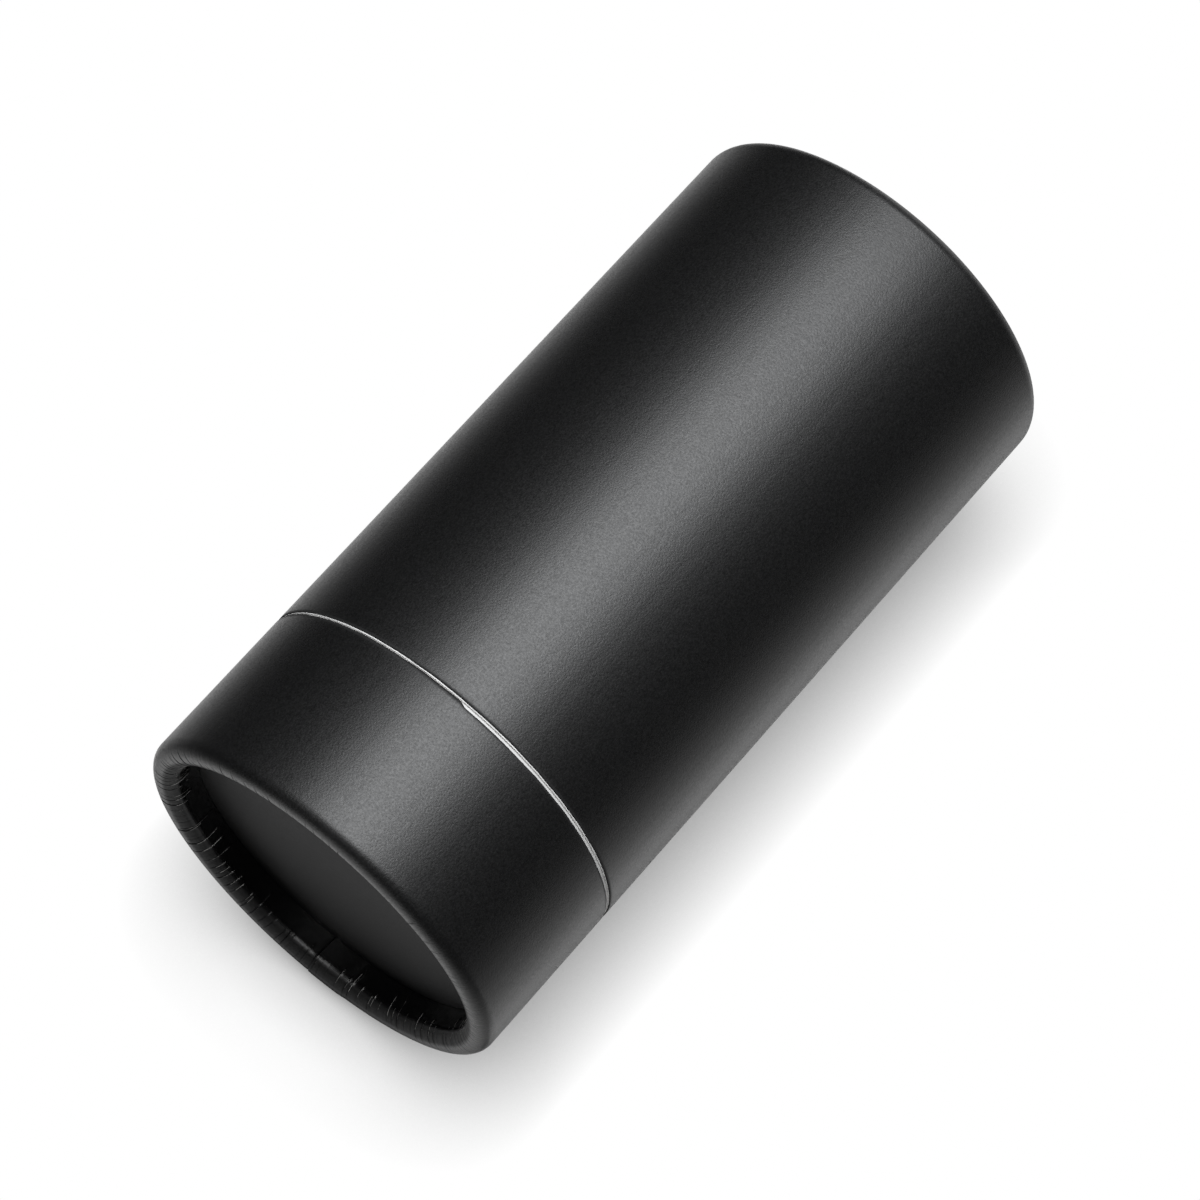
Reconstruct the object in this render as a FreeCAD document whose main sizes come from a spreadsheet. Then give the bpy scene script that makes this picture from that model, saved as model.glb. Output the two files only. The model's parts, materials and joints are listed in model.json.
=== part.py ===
# A rigid paper gift tube that stands on its base: a short base, a tall lift-off lid and a neck between.
#
# Both lengths are cut from one kind of wound board tube. The free end of each is rolled inwards, and the
# rolled edge holds a board disc a few millimetres inside. Black paper covers the tube and is rolled in
# with it. The neck is a narrower tube, glued into the base and standing on its disc. The lid slides over
# the neck.
#
# Millimetres. +Z runs along the tube, and z = 0 is where the rolled foot stands.

import FreeCAD
import Part
import Sketcher
import os

SIZES = {
    "tube_diameter": 70.0,  # over the black paper
    "closed_height": 143.0,  # from the foot to the top of the lid
    "base_height": 30.0,  # the seam's height
    "seam_gap": 0.3,  # between the cut edges of base and lid, for the fuzz of the board
    "board_wall": 1.0,  # of the base and lid tubes
    "wrap_paper": 0.2,  # black paper round the tubes and on the discs
    "glue_film": 0.05,  # under every glued paper and piece of board
    "curl_outer_bend": 1.2,  # inside radius of the roll where it leaves the wall
    "curl_inner_bend": 1.25,  # inside radius of the roll where it turns into the leg
    "foot_flat": 0.25,  # width that the roll is pressed flat
    "recess_depth": 6.5,  # from the roll's crest to the disc
    "wrap_setback": 0.15,  # the black paper stops this short of the board's cut edge
    "lap_width": 8.0,  # of the black paper over its own end
    "disc_board": 1.8,
    "disc_clearance": 0.15,  # round the edge of a disc
    "lining_paper": 0.2,  # pale paper inside and on the neck
    "neck_wall": 1.2,
    "neck_rise": 25.0,  # of the neck above the base's cut edge
    "neck_edge_ease": 0.25,  # broken corners of the neck's top edge
    "slide_clearance": 0.3,  # between the neck and the bore of the tubes
}

doc = FreeCAD.newDocument("gift_tube")
sheet = doc.addObject("Spreadsheet::Sheet", "Sizes")
for row, (alias, number) in enumerate(SIZES.items(), start=1):
    sheet.set(f"A{row}", alias)
    sheet.set(f"B{row}", str(number))
    sheet.setAlias(f"B{row}", alias)
doc.recompute()


class Size:
    """A length with its formula in the sheet's words, so that a drawing takes both from one sum."""

    def __init__(self, formula, value):
        self.formula = formula
        self.value = value

    def __add__(self, other):
        return Size(f"({self.formula} + {other.formula})", self.value + other.value)

    def __sub__(self, other):
        return Size(f"({self.formula} - {other.formula})", self.value - other.value)

    def half(self):
        return Size(f"{self.formula} / 2", self.value / 2)


def size(alias):
    return Size(f"Sizes.{alias}", float(sheet.get(alias)))


def origin_plane(body, role):
    return next(feature for feature in body.Origin.OriginFeatures if feature.Role == role)


def section(body, name, plane, corners):
    """A closed outline in radius and height. A corner that ends an arc has its radius and centre too."""
    sketch = body.newObject("Sketcher::SketchObject", name)
    sketch.AttachmentSupport = (origin_plane(body, plane), [""])
    sketch.MapMode = "FlatFace"
    points = [FreeCAD.Vector(corner[0].value, corner[1].value, 0) for corner in corners]
    edges = []
    for index, corner in enumerate(corners):
        begin = points[index - 1]
        end = points[index]
        if len(corner) == 2:
            edges.append(Part.LineSegment(begin, end))
            continue
        radius, centre = corner[2], FreeCAD.Vector(corner[3].value, corner[4].value, 0)
        middle = (begin + end) * 0.5 - centre
        middle.Length = radius.value
        edges.append(Part.Arc(begin, centre + middle, end))
    sketch.addGeometry(edges, False)
    for index, corner in enumerate(corners):
        end = end_of(sketch, index, points[index])
        following = (index + 1) % len(corners)
        begin = end_of(sketch, following, points[index])
        sketch.addConstraint(Sketcher.Constraint("Coincident", index, end, following, begin))
        bind(sketch, Sketcher.Constraint("DistanceX", -1, 1, index, end, corner[0].value), corner[0])
        bind(sketch, Sketcher.Constraint("DistanceY", -1, 1, index, end, corner[1].value), corner[1])
        if len(corner) > 2:
            bind(sketch, Sketcher.Constraint("Radius", index, corner[2].value), corner[2])
    return sketch


def end_of(sketch, index, point):
    """Which end of an edge lies at a point: 1 is its start and 2 its end."""
    start_gap = sketch.getPoint(index, 1).distanceToPoint(point)
    end_gap = sketch.getPoint(index, 2).distanceToPoint(point)
    return 1 if start_gap < end_gap else 2


def bind(sketch, constraint, length):
    number = sketch.addConstraint(constraint)
    sketch.setExpression(f"Constraints[{number}]", length.formula)


def revolve(body, sketch, name):
    turn = body.newObject("PartDesign::Revolution", name)
    turn.Profile = sketch
    turn.ReferenceAxis = (sketch, ["V_Axis"])
    turn.Angle = 360
    body.Tip = turn
    return turn


def new_body(label):
    body = doc.addObject("PartDesign::Body", label)
    body.Label = label
    return body


ZERO = Size("0", 0.0)
outside = size("tube_diameter").half()
board_skin = size("wrap_paper") + size("glue_film")
tube_skin = board_skin + size("board_wall")
tube_bore = outside - tube_skin
roll_outer = tube_skin + size("curl_outer_bend")
roll_inner = tube_skin + size("curl_inner_bend")
roll_outer_centre = outside - roll_outer
roll_inner_centre = roll_outer_centre - size("foot_flat")
leg_face = roll_inner_centre - roll_inner
leg_end = size("recess_depth") - size("glue_film")


def rolled_sheet(label, inner_skin, outer_skin, cut_edge):
    """A layer of the tube's wall, from one depth below the surface to another, that rolls in at the foot.

    The layer comes down the wall, turns under in two quarter rounds with a short flat between them, and
    goes up again as the leg that carries the disc.
    """
    body = new_body(label)
    outer = [
        (outside - outer_skin, cut_edge),
        (outside - outer_skin, roll_outer),
        (roll_outer_centre, outer_skin, roll_outer - outer_skin, roll_outer_centre, roll_outer),
        (roll_inner_centre, outer_skin),
        (leg_face + outer_skin, roll_inner, roll_inner - outer_skin, roll_inner_centre, roll_inner),
        (leg_face + outer_skin, leg_end),
    ]
    inner = [
        (leg_face + inner_skin, leg_end),
        (leg_face + inner_skin, roll_inner),
        (roll_inner_centre, inner_skin, roll_inner - inner_skin, roll_inner_centre, roll_inner),
        (roll_outer_centre, inner_skin),
        (outside - inner_skin, roll_outer, roll_outer - inner_skin, roll_outer_centre, roll_outer),
        (outside - inner_skin, cut_edge),
    ]
    revolve(body, section(body, label + "_section", "XZ_Plane", outer + inner), label + "_turned")
    return body


def add_lap(body, cut_edge):
    """The end of the paper lies over its start in a straight strip down the back of the wall."""
    corners = [
        (outside - size("wrap_paper").half(), roll_outer),
        (outside + size("wrap_paper"), roll_outer),
        (outside + size("wrap_paper"), cut_edge),
        (outside - size("wrap_paper").half(), cut_edge),
    ]
    sketch = section(body, body.Label + "_lap_section", "YZ_Plane", corners)
    lap = revolve(body, sketch, body.Label + "_lap")
    lap.Midplane = True
    lap.setExpression("Angle", f"360 * {size('lap_width').formula} / (2 * pi * {outside.formula})")


def flat_disc(label, thickness):
    disc = doc.addObject("Part::Cylinder", label)
    disc.Label = label
    disc.setExpression("Radius", (tube_bore - size("disc_clearance")).formula)
    disc.setExpression("Height", thickness.formula)
    return disc


facing_top = size("recess_depth") + size("wrap_paper")
disc_bottom = facing_top + size("glue_film")
disc_top = disc_bottom + size("disc_board")
lining_bottom = disc_top + size("glue_film")
lining_top = lining_bottom + size("lining_paper")


def stand_up(piece, level):
    """Set a piece at a height above the foot."""
    piece.setExpression("Placement.Base.z", level.formula)


def turn_over(piece, level):
    """Set a piece upside down, turned about Y, at a depth below the top of the closed box."""
    piece.Placement = FreeCAD.Placement(FreeCAD.Vector(), FreeCAD.Rotation(FreeCAD.Vector(0, 1, 0), 180))
    piece.setExpression("Placement.Base.z", (size("closed_height") - level).formula)


def rolled_length(name, height, place):
    """Tube, paper and discs of one length of the box, each placed by its level above the rolled edge."""
    wrap_edge = height - size("wrap_setback")
    wrap = rolled_sheet(name + "_wrap", size("wrap_paper"), ZERO, wrap_edge)
    add_lap(wrap, wrap_edge)
    levels = [
        (rolled_sheet(name + "_tube", tube_skin, board_skin, height), ZERO),
        (wrap, ZERO),
        (flat_disc(name + "_disc_facing", size("wrap_paper")), size("recess_depth")),
        (flat_disc(name + "_disc", size("disc_board")), disc_bottom),
        (flat_disc(name + "_lining", size("lining_paper")), lining_bottom),
    ]
    for piece, level in levels:
        place(piece, level)
    return [piece for piece, level in levels]


def neck_pieces():
    """The neck stands on the floor lining. Its sleeve ends below the broken corner of its top edge."""
    sleeve_face = tube_bore - size("slide_clearance")
    sleeve_back = sleeve_face - size("lining_paper")
    neck_face = sleeve_back - size("glue_film")
    neck_bore = neck_face - size("neck_wall")
    foot = lining_top + size("glue_film")
    top = size("base_height") + size("neck_rise")
    ease = size("neck_edge_ease")
    neck = new_body("neck_tube")
    neck_corners = [
        (neck_bore, foot),
        (neck_face, foot),
        (neck_face, top - ease),
        (neck_face - ease, top),
        (neck_bore + ease, top),
        (neck_bore, top - ease),
    ]
    revolve(neck, section(neck, "neck_section", "XZ_Plane", neck_corners), "neck_turned")
    sleeve = new_body("neck_sleeve")
    sleeve_corners = [
        (sleeve_back, foot),
        (sleeve_face, foot),
        (sleeve_face, top - ease),
        (sleeve_back, top - ease),
    ]
    revolve(sleeve, section(sleeve, "sleeve_section", "XZ_Plane", sleeve_corners), "sleeve_turned")
    return [neck, sleeve]


lid_height = size("closed_height") - size("base_height") - size("seam_gap")
pieces = rolled_length("base", size("base_height"), stand_up)
pieces += neck_pieces()
pieces += rolled_length("lid", lid_height, turn_over)
doc.recompute()

for item in doc.Objects:
    if "Invalid" in item.State or "Error" in item.State:
        raise RuntimeError(f"{item.Name} failed: {item.State}")
for piece in pieces:
    if piece.Shape.isNull() or not piece.Shape.isValid() or len(piece.Shape.Solids) != 1:
        raise RuntimeError(f"{piece.Label} is not one valid solid")

os.makedirs("parts", exist_ok=True)
for piece in pieces:
    piece.Shape.exportStep(f"parts/{piece.Label}.step")
    box = piece.Shape.optimalBoundingBox()
    levels = f"z {box.ZMin:.2f} to {box.ZMax:.2f}"
    print(f"{piece.Label}: {piece.Shape.Volume:.1f} mm3, {levels}, {box.XLength:.2f} across")
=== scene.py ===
# %% [markdown]
# # A rigid paper gift tube
# The object is a box made of wound board tube, covered with soft black paper. A short base carries a
# narrower neck, and a tall lid slides down over that neck. The free end of each tube is rolled inwards,
# and the rolled edge holds a board disc a few millimetres inside.
#
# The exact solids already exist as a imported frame, so this lesson loads them and then dresses them:
# paper that wrinkles where it is rolled, board that is rough where it was cut, and light that shows both.

# %% Load the frame
import json
import math

import bpy
import numpy as np
from mathutils import Matrix, Vector


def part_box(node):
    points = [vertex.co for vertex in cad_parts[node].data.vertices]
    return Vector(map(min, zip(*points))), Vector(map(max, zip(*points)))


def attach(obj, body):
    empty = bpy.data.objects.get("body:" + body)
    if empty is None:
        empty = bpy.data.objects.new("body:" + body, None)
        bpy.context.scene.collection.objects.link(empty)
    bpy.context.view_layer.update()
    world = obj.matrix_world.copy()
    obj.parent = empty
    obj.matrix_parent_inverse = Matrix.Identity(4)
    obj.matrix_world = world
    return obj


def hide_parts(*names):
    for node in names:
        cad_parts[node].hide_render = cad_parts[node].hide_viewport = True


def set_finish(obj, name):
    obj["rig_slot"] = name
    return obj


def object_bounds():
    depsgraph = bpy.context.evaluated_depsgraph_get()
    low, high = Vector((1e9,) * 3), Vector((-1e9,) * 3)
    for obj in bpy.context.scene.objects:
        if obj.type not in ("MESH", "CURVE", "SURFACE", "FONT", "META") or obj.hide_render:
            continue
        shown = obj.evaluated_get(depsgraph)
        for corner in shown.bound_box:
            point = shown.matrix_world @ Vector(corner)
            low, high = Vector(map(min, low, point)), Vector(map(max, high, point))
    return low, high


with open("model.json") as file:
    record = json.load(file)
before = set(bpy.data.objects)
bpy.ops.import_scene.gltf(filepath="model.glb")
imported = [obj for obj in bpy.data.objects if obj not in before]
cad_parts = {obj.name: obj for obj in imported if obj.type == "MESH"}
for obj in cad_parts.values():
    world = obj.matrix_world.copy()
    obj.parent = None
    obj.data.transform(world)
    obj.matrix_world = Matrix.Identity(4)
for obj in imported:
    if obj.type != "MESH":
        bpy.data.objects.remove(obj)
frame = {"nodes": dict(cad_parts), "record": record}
cad_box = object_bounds()
nodes = frame["nodes"]
print("nodes:", sorted(nodes))
print("box:", [list(corner) for corner in cad_box])

# %% [markdown]
# ## Sizes
# Every length that the frame can give is read from it, so the dressed pieces follow the solids. The few
# that are left describe the roll and the layers of the wall, which no box of a solid shows.

# %% Read the sizes
MM = 0.001
PAPER = 0.2 * MM  # thickness of the black paper
BOARD_FACE = 0.25 * MM  # depth of the board's outer face below the paper's
BOARD_BACK = 1.25 * MM  # depth of the board's inner face
ROLL_OUTER = 2.45 * MM  # radius of the roll where it leaves the wall
ROLL_INNER = 2.5 * MM  # radius of the roll where it turns into the leg
ROLL_FLAT = 0.25 * MM  # width that the roll is pressed flat
GLUE = 0.05 * MM  # gap that stands for a film of glue

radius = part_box("base_wrap")[1].x
top_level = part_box("lid_wrap")[1].z
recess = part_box("base_disc_facing")[0].z
disc_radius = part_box("base_disc_facing")[1].x
leg_face = radius - ROLL_OUTER - ROLL_FLAT - ROLL_INNER
leg_end = recess - GLUE
base_board_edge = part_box("base_tube")[1].z
lid_board_edge = top_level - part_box("lid_tube")[0].z
print(f"radius {radius / MM:.2f} mm, leg {leg_face / MM:.2f} mm, recess {recess / MM:.2f} mm")
print(f"base board {base_board_edge / MM:.2f} mm, lid board {lid_board_edge / MM:.2f} mm")

# %% [markdown]
# ## Curves round a tube
# A few small formulas serve every piece. A smooth step blends one thing into another, a ripple is a wave
# that closes on itself after one turn, and two more place points round the axis and turn a piece over.
# The lid's pieces are made standing on their rolled edge, like the base's, and then turned over.

# %% Curve helpers
def smooth_step(low, high, value):
    """0 below low, 1 above high, and 3t^2 - 2t^3 between them."""
    share = np.clip((value - low) / (high - low), 0, 1)
    return share * share * (3 - 2 * share)


def ripple(rng, angle, slowest, fastest, waves=24):
    """A sum of sines round the tube with random whole counts and phases, scaled to about +-1."""
    counts = rng.integers(slowest, fastest + 1, waves)
    phases = rng.uniform(0, math.tau, waves)
    return np.sin(np.multiply.outer(angle, counts) + phases).sum(axis=-1) / math.sqrt(waves)


def turned(radial, level, angle):
    """Points at a distance from the axis, a height and an angle that starts at +Y, the tube's back."""
    spread = np.broadcast_arrays(radial * np.sin(angle), radial * np.cos(angle), level + 0 * angle)
    return np.stack(spread, axis=-1)


def upside_down(grid):
    """Half a turn about Y, so that a piece made on its foot becomes the same piece on the lid."""
    return grid * np.array([-1, 1, -1]) + np.array([0, 0, top_level])


samples = [f"{ripple(np.random.default_rng(seed), 0.0, 3, 9):.2f}" for seed in range(3)]
print("ripples at the back of the tube:", samples)

# %% [markdown]
# ## From a grid of points to a mesh
# Everything here is round, so every surface is a grid: its columns go round the tube and meet again, and
# its rows follow a section. A closed section gives a shell with real thickness. A section that starts and
# ends on the axis gives a disc, whose first and last rows shrink to a point. Building whole arrays and
# handing them to the mesh at once is far quicker than adding points one by one.

# %% Faces of a grid
def grid_quads(rows, columns, closed):
    """Point numbers of each quad (r, c): its corners are (r, c), (r, c+1), (r+1, c+1) and (r+1, c).

    The last column joins the first, and the last row of a closed section joins the first row. An open
    section begins and ends on the axis, so each of its end rows is one point.
    """
    number = np.arange(rows * columns).reshape(rows, columns)
    if not closed:
        number[0] = number[0, 0]
        number[-1] = number[-1, 0]
    here = number if closed else number[:-1]
    over = np.roll(number, -1, axis=0) if closed else number[1:]
    corners = [here, np.roll(here, -1, axis=1), np.roll(over, -1, axis=1), over]
    return np.stack(corners, axis=-1).reshape(-1, 4)


def corner_uvs(around, along, rows, columns):
    """The four corners of each quad as (distance round the tube, distance along the section)."""
    row, column = np.meshgrid(np.arange(rows), np.arange(columns), indexing="ij")
    steps = ((0, 0), (0, 1), (1, 1), (1, 0))
    corners = [np.stack([around[column + c], along[row + r]], axis=-1) for r, c in steps]
    return np.stack(corners, axis=2).reshape(-1, 4, 2)


def signed_volume(points, corners):
    """A sixth of the sum of p0 . (p1 x p2) over all triangles: positive where faces point outwards."""
    first, second, third = (points[corners[:, k]] for k in range(3))
    return np.einsum("ij,ij->i", first, np.cross(second, third)).sum() / 6


print("quads of a closed grid, 3 by 4:", len(grid_quads(3, 4, True)))

# %% Mesh of a grid
SHARP_EDGE = math.radians(50)


def round_mesh(name, grid, around, along, closed=True, on_lid=False, **values):
    """A mesh from points in rows and columns, whose faces point outwards.

    A quad at the axis loses the corner that falls on its neighbour. Each extra keyword becomes a value that
    the materials can read at every point.
    """
    rows, columns = grid.shape[:2]
    quads = grid_quads(rows, columns, closed)
    around = np.append(around, around[0] + math.tau * radius)
    along = np.append(along, along[-1] + PAPER)
    uvs = corner_uvs(around, along, len(quads) // columns, columns)
    used, quads = np.unique(quads, return_inverse=True)
    quads = quads.reshape(-1, 4)
    points = (upside_down(grid) if on_lid else grid).reshape(-1, 3)[used]
    volume = signed_volume(points, quads[:, :3]) + signed_volume(points, quads[:, [0, 2, 3]])
    if volume < 0:
        quads, uvs = quads[:, ::-1], uvs[:, ::-1]
    kept = quads != np.roll(quads, 1, axis=1)
    mesh = bpy.data.meshes.new(name)
    mesh.vertices.add(len(points))
    mesh.vertices.foreach_set("co", points.ravel())
    mesh.loops.add(kept.sum())
    mesh.loops.foreach_set("vertex_index", quads[kept])
    mesh.polygons.add(len(quads))
    mesh.polygons.foreach_set("loop_start", np.append(0, np.cumsum(kept.sum(axis=1))[:-1]))
    layer = mesh.uv_layers.new(name="sheet")
    layer.data.foreach_set("uv", uvs[kept].ravel())
    for key, value in values.items():
        spread = np.broadcast_to(value, (rows, columns)).astype(np.float32)
        mesh.attributes.new(key, "FLOAT", "POINT").data.foreach_set("value", spread.ravel()[used])
    mesh.update(calc_edges=True)
    mesh.validate()
    return finish_mesh(mesh, abs(volume))


def finish_mesh(mesh, volume):
    """Smooth shading, broken only at real corners, and an object at the origin."""
    mesh.shade_smooth()
    mesh.set_sharp_from_angle(angle=SHARP_EDGE)
    piece = bpy.data.objects.new(mesh.name, mesh)
    bpy.context.scene.collection.objects.link(piece)
    print(f"{mesh.name}: {len(mesh.polygons)} faces, {volume / MM**3:.0f} mm3")
    return piece


def stands_for(piece, body, node, slot):
    """The piece rides on a body, takes the place of a solid and asks for a finish by name."""
    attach(piece, body)
    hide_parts(node)
    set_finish(piece, slot)


# %% [markdown]
# ## The rolled section
# The paper comes down the wall, turns under in a quarter round, lies flat for a hair, turns up in another
# quarter round and ends as a leg that grips the disc. Carrying the outward normal along with the section
# means that any layer below the face, such as the board, is the same section moved along that normal.

# %% Section of a rolled tube
TURN_OUTER_ROWS = 15
TURN_INNER_ROWS = 23
LEG_ROWS = 16
EDGE_ROWS = np.array([0, 0.05, 0.1, 0.16, 0.24, 0.36, 0.7, 1.4]) * MM  # below the cut edge
EVEN_FROM = 2.6 * MM
SHORT_WALL_ROWS = 7
TALL_WALL_ROWS = 9


def rolled_section(edge_steps, edge):
    """Rows of (radius, height, normal's radius part, normal's height part, length along from the roll).

    Straight wall at the given distances below its edge, then two quarter circles and a straight leg.
    """
    wall = edge - np.asarray(edge_steps)
    outer = np.linspace(0, math.pi / 2, TURN_OUTER_ROWS)
    inner = np.linspace(math.pi / 2, math.pi, TURN_INNER_ROWS)
    leg = np.linspace(ROLL_INNER, leg_end, LEG_ROWS)[1:]
    outer_centre = radius - ROLL_OUTER
    inner_centre = outer_centre - ROLL_FLAT
    radial = [
        np.full(len(wall), radius),
        outer_centre + ROLL_OUTER * np.cos(outer),
        inner_centre + ROLL_INNER * np.cos(inner),
        np.full(len(leg), leg_face),
    ]
    level = [wall, ROLL_OUTER * (1 - np.sin(outer)), ROLL_INNER * (1 - np.sin(inner)), leg]
    normal = [np.zeros(len(wall)), outer, inner, np.full(len(leg), math.pi)]
    radial, level, normal = (np.concatenate(part) for part in (radial, level, normal))
    steps = np.hypot(np.diff(radial), np.diff(level))
    along = np.concatenate([[0], np.cumsum(steps)])
    return radial, level, np.cos(normal), -np.sin(normal), along - along[len(wall)]


def wall_steps(edge, rows):
    """Distances below the cut edge: close together at the edge, then even down to the roll."""
    even = np.linspace(EVEN_FROM, edge - ROLL_OUTER, rows + 1)[:-1]
    return np.concatenate([EDGE_ROWS, even])


def thinned(rows, first, every):
    """Numbers of the rows to keep: all of the first ones, then every so many, and always the last."""
    return np.unique(np.concatenate([np.arange(first), np.arange(first, rows, every), [rows - 1]]))


section = rolled_section(wall_steps(base_board_edge, SHORT_WALL_ROWS), base_board_edge)
print(f"section: {len(section[0])} rows, {section[4][-1] / MM:.2f} mm from wall to the leg's end")

# %% [markdown]
# ## Pleats
# A flat sheet has too much paper for the smaller circle inside the roll. The spare length, about a seventh,
# is pressed into pleats that start as hairlines on the outside of the roll. Each is a narrow groove with a
# ridge on one side. On the leg the tool has pressed the grooves shut and left the ridge as a lip, and along
# most lips a pale line is painted into the colour as a glint. A bump map would vanish at the outline, so
# grooves, ridges and lips are real relief.
# The grid's columns are bunched at the pleats and lean with them, so few columns are enough.

# %% Lay out the pleats
PLEATS = 120
JITTER = 0.33  # share of the even spacing
PLEAT_DEPTH = 0.14 * MM
SHALLOWEST, DEPTH_SPREAD, DEPTH_BIAS = 0.25, 0.95, 1.3  # shares of the depth, more of them shallow
BEGIN_FROM, BEGIN_TO = 1.6 * MM, 3.6 * MM  # lengths along the section, from where the roll starts
END_FROM, END_TO = 7.9 * MM, 10.6 * MM
LEAN, LEAN_NOISE, LEAN_WAVES = 0.05, 0.03, (2, 18)  # sideways for each step along
BOW, BOW_WAVES = 12.0, (3, 25)  # per metre
LIP_AND_GLINT_ABOVE, LEAST_LIP_AND_GLINT = 0.3, 0.45  # share of the depth above which a pleat gets a lip with a painted glint, and the least strength of both
QUIET, QUIET_WIDTH, QUIET_SHARE = 0.33, 0.2, 0.9  # radians beside the lap, where few pleats get a lip and a painted glint


def lay_pleats(rng):
    """Angle, depth, lip and painted-glint strength, beginning, end, lean and bow of every pleat.

    The angles are even steps with a random shift. Neighbours lean alike, so none of them cross.
    """
    place = np.arange(PLEATS) + rng.uniform(-JITTER, JITTER, PLEATS)
    angle = math.tau * place / PLEATS
    strength = SHALLOWEST + DEPTH_SPREAD * rng.random(PLEATS) ** DEPTH_BIAS
    begin = rng.uniform(BEGIN_FROM, BEGIN_TO, PLEATS)
    end = rng.uniform(END_FROM, END_TO, PLEATS)
    lean = LEAN * ripple(rng, angle, *LEAN_WAVES) + rng.normal(0, LEAN_NOISE, PLEATS)
    bow = BOW * ripple(rng, angle, *BOW_WAVES)
    from_quiet = (angle + math.pi + QUIET) % math.tau - math.pi
    quiet = QUIET_SHARE * np.exp(-((from_quiet / QUIET_WIDTH) ** 2))
    # how high each lip rises, and how strong the painted glint (a pale line in the colour) along it is
    lip_and_glint = (strength > LIP_AND_GLINT_ABOVE) * rng.uniform(LEAST_LIP_AND_GLINT, 1.0, PLEATS) * (1 - quiet)
    return {
        "angle": angle,
        "depth": PLEAT_DEPTH * strength,
        "lip_and_glint": lip_and_glint,
        "begin": begin,
        "end": end,
        "lean": lean,
        "bow": bow,
    }


print(f"pleats: {PLEATS} round the leg, {math.tau * leg_face / PLEATS / MM:.2f} mm apart")

# %% Relief of the pleats
BUNCH = np.array([-0.35, -0.1, -0.045, 0.0, 0.05, 0.12, 0.19, 0.27, 0.5]) * MM  # columns across a pleat
LAP_COLUMNS = np.array([-0.3, -0.1, -0.05, 0.0, 0.05, 0.1, 0.3]) * MM  # columns across an edge of the lap
LAP_HALF = 4.0 * MM
LEAST_STEP = 0.02 * MM  # between two columns
GROOVE = 0.075 * MM
RIDGE, RIDGE_SHIFT, RIDGE_SHARE = 0.12 * MM, 0.12 * MM, 0.35
GROW, FADE, LIP_FADE = 2.4 * MM, 2.2 * MM, 0.6 * MM  # lengths over which a pleat comes and goes
PRESSED_FROM, PRESSED_TO, PRESSED_SHUT = 6.6 * MM, 7.6 * MM, 0.6
LIP, LIP_FROM, LIP_TO = 0.3 * MM, 6.9 * MM, 9.1 * MM
# lengths along the section over which the painted glint on the lips sets in
PAINTED_GLINT_FROM, PAINTED_GLINT_TO = 5.3 * MM, 6.5 * MM


def pleat_columns(pleats):
    """Angles of the grid's columns: a bunch at each pleat and at both edges of the lap at the back."""
    bunches = (pleats["angle"][:, None] + BUNCH / leg_face).ravel()
    laps = np.concatenate([(edge + LAP_COLUMNS) / radius for edge in (-LAP_HALF, LAP_HALF)])
    angles = np.sort(np.concatenate([bunches, laps]) % math.tau)
    return angles[np.append(True, np.diff(angles) > LEAST_STEP / radius)]


def pleat_relief(pleats, angles, along):
    """Height of the face over the plain section, the turn of each column, and masks of grooves and painted
    glints.

    Across a pleat the height is a groove, -exp(-(x/g)^2), with a ridge beside it, exp(-((x-s)/r)^2). Along
    it, the groove grows from the pleat's beginning to the roll and dies out on the leg, where the ridge
    rises in a straight slope and ends. The painted glint, a pale line in the colour, follows the top of the
    ridge. A column turns with the pleats to either side of it.
    """
    first, last = pleats["angle"][:1], pleats["angle"][-1:]
    wrapped = np.concatenate([last - math.tau, pleats["angle"], first + math.tau])
    left = np.clip(np.searchsorted(wrapped, angles, side="right") - 1, 0, PLEATS)
    share = (angles - wrapped[left]) / (wrapped[left + 1] - wrapped[left])
    grown = smooth_step(0, GROW, along[:, None] - pleats["begin"])
    grown = grown * (1 - smooth_step(-FADE, 0, along[:, None] - pleats["end"]))
    pressed = smooth_step(PRESSED_FROM, PRESSED_TO, along)[:, None]
    slope = np.clip((along - LIP_FROM) / (LIP_TO - LIP_FROM), 0, 1)[:, None]
    lip = pleats["lip_and_glint"] * (1 - smooth_step(-LIP_FADE, 0, along[:, None] - pleats["end"]))
    # painted glint: pale colour along each lip, from where the leg begins
    painted_glint = smooth_step(PAINTED_GLINT_FROM, PAINTED_GLINT_TO, along)[:, None] * lip
    beyond = np.clip(along[:, None] - pleats["begin"], 0, None)
    turn = (pleats["lean"] * beyond + pleats["bow"] * beyond**2) / leg_face
    height, turning, groove, painted_glint_mask = np.zeros((4, len(along), len(angles)))
    for side, weight in ((left, 1 - share), (left + 1, share)):
        pleat = (side - 1) % PLEATS
        gap = (angles - wrapped[side]) * leg_face
        depth = grown[:, pleat] * pleats["depth"][pleat]
        cut = np.exp(-((gap / GROOVE) ** 2))
        ridge = np.exp(-(((gap - RIDGE_SHIFT) / RIDGE) ** 2))
        height += depth * (RIDGE_SHARE * (1 - pressed) * ridge - (1 - PRESSED_SHUT * pressed) * cut)
        height += LIP * (slope * lip)[:, pleat] * ridge
        # mask of the painted glint along the top of each lip
        painted_glint_mask += painted_glint[:, pleat] * ridge**3
        groove += depth / PLEAT_DEPTH * (1 - pressed) * cut
        turning += weight * turn[:, pleat]
    return height, turning, np.clip(groove, 0, 1), np.clip(painted_glint_mask, 0, 1)


print(f"columns: {len(BUNCH)} across each pleat and {len(LAP_COLUMNS)} across each edge of the lap")

# %% [markdown]
# ## The black paper
# The paper is one sheet, glued round the tube with its end lapped over its start at the back, and rolled in
# with the board. The lap's free end is a sharp step, and its other side is soft, because the paper there
# only drapes over the end below it. The cut edge at the seam wanders a little, lifts in places and leaves a
# strip of board bare, which is what makes it look like paper and not like a moulded rim.

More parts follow.
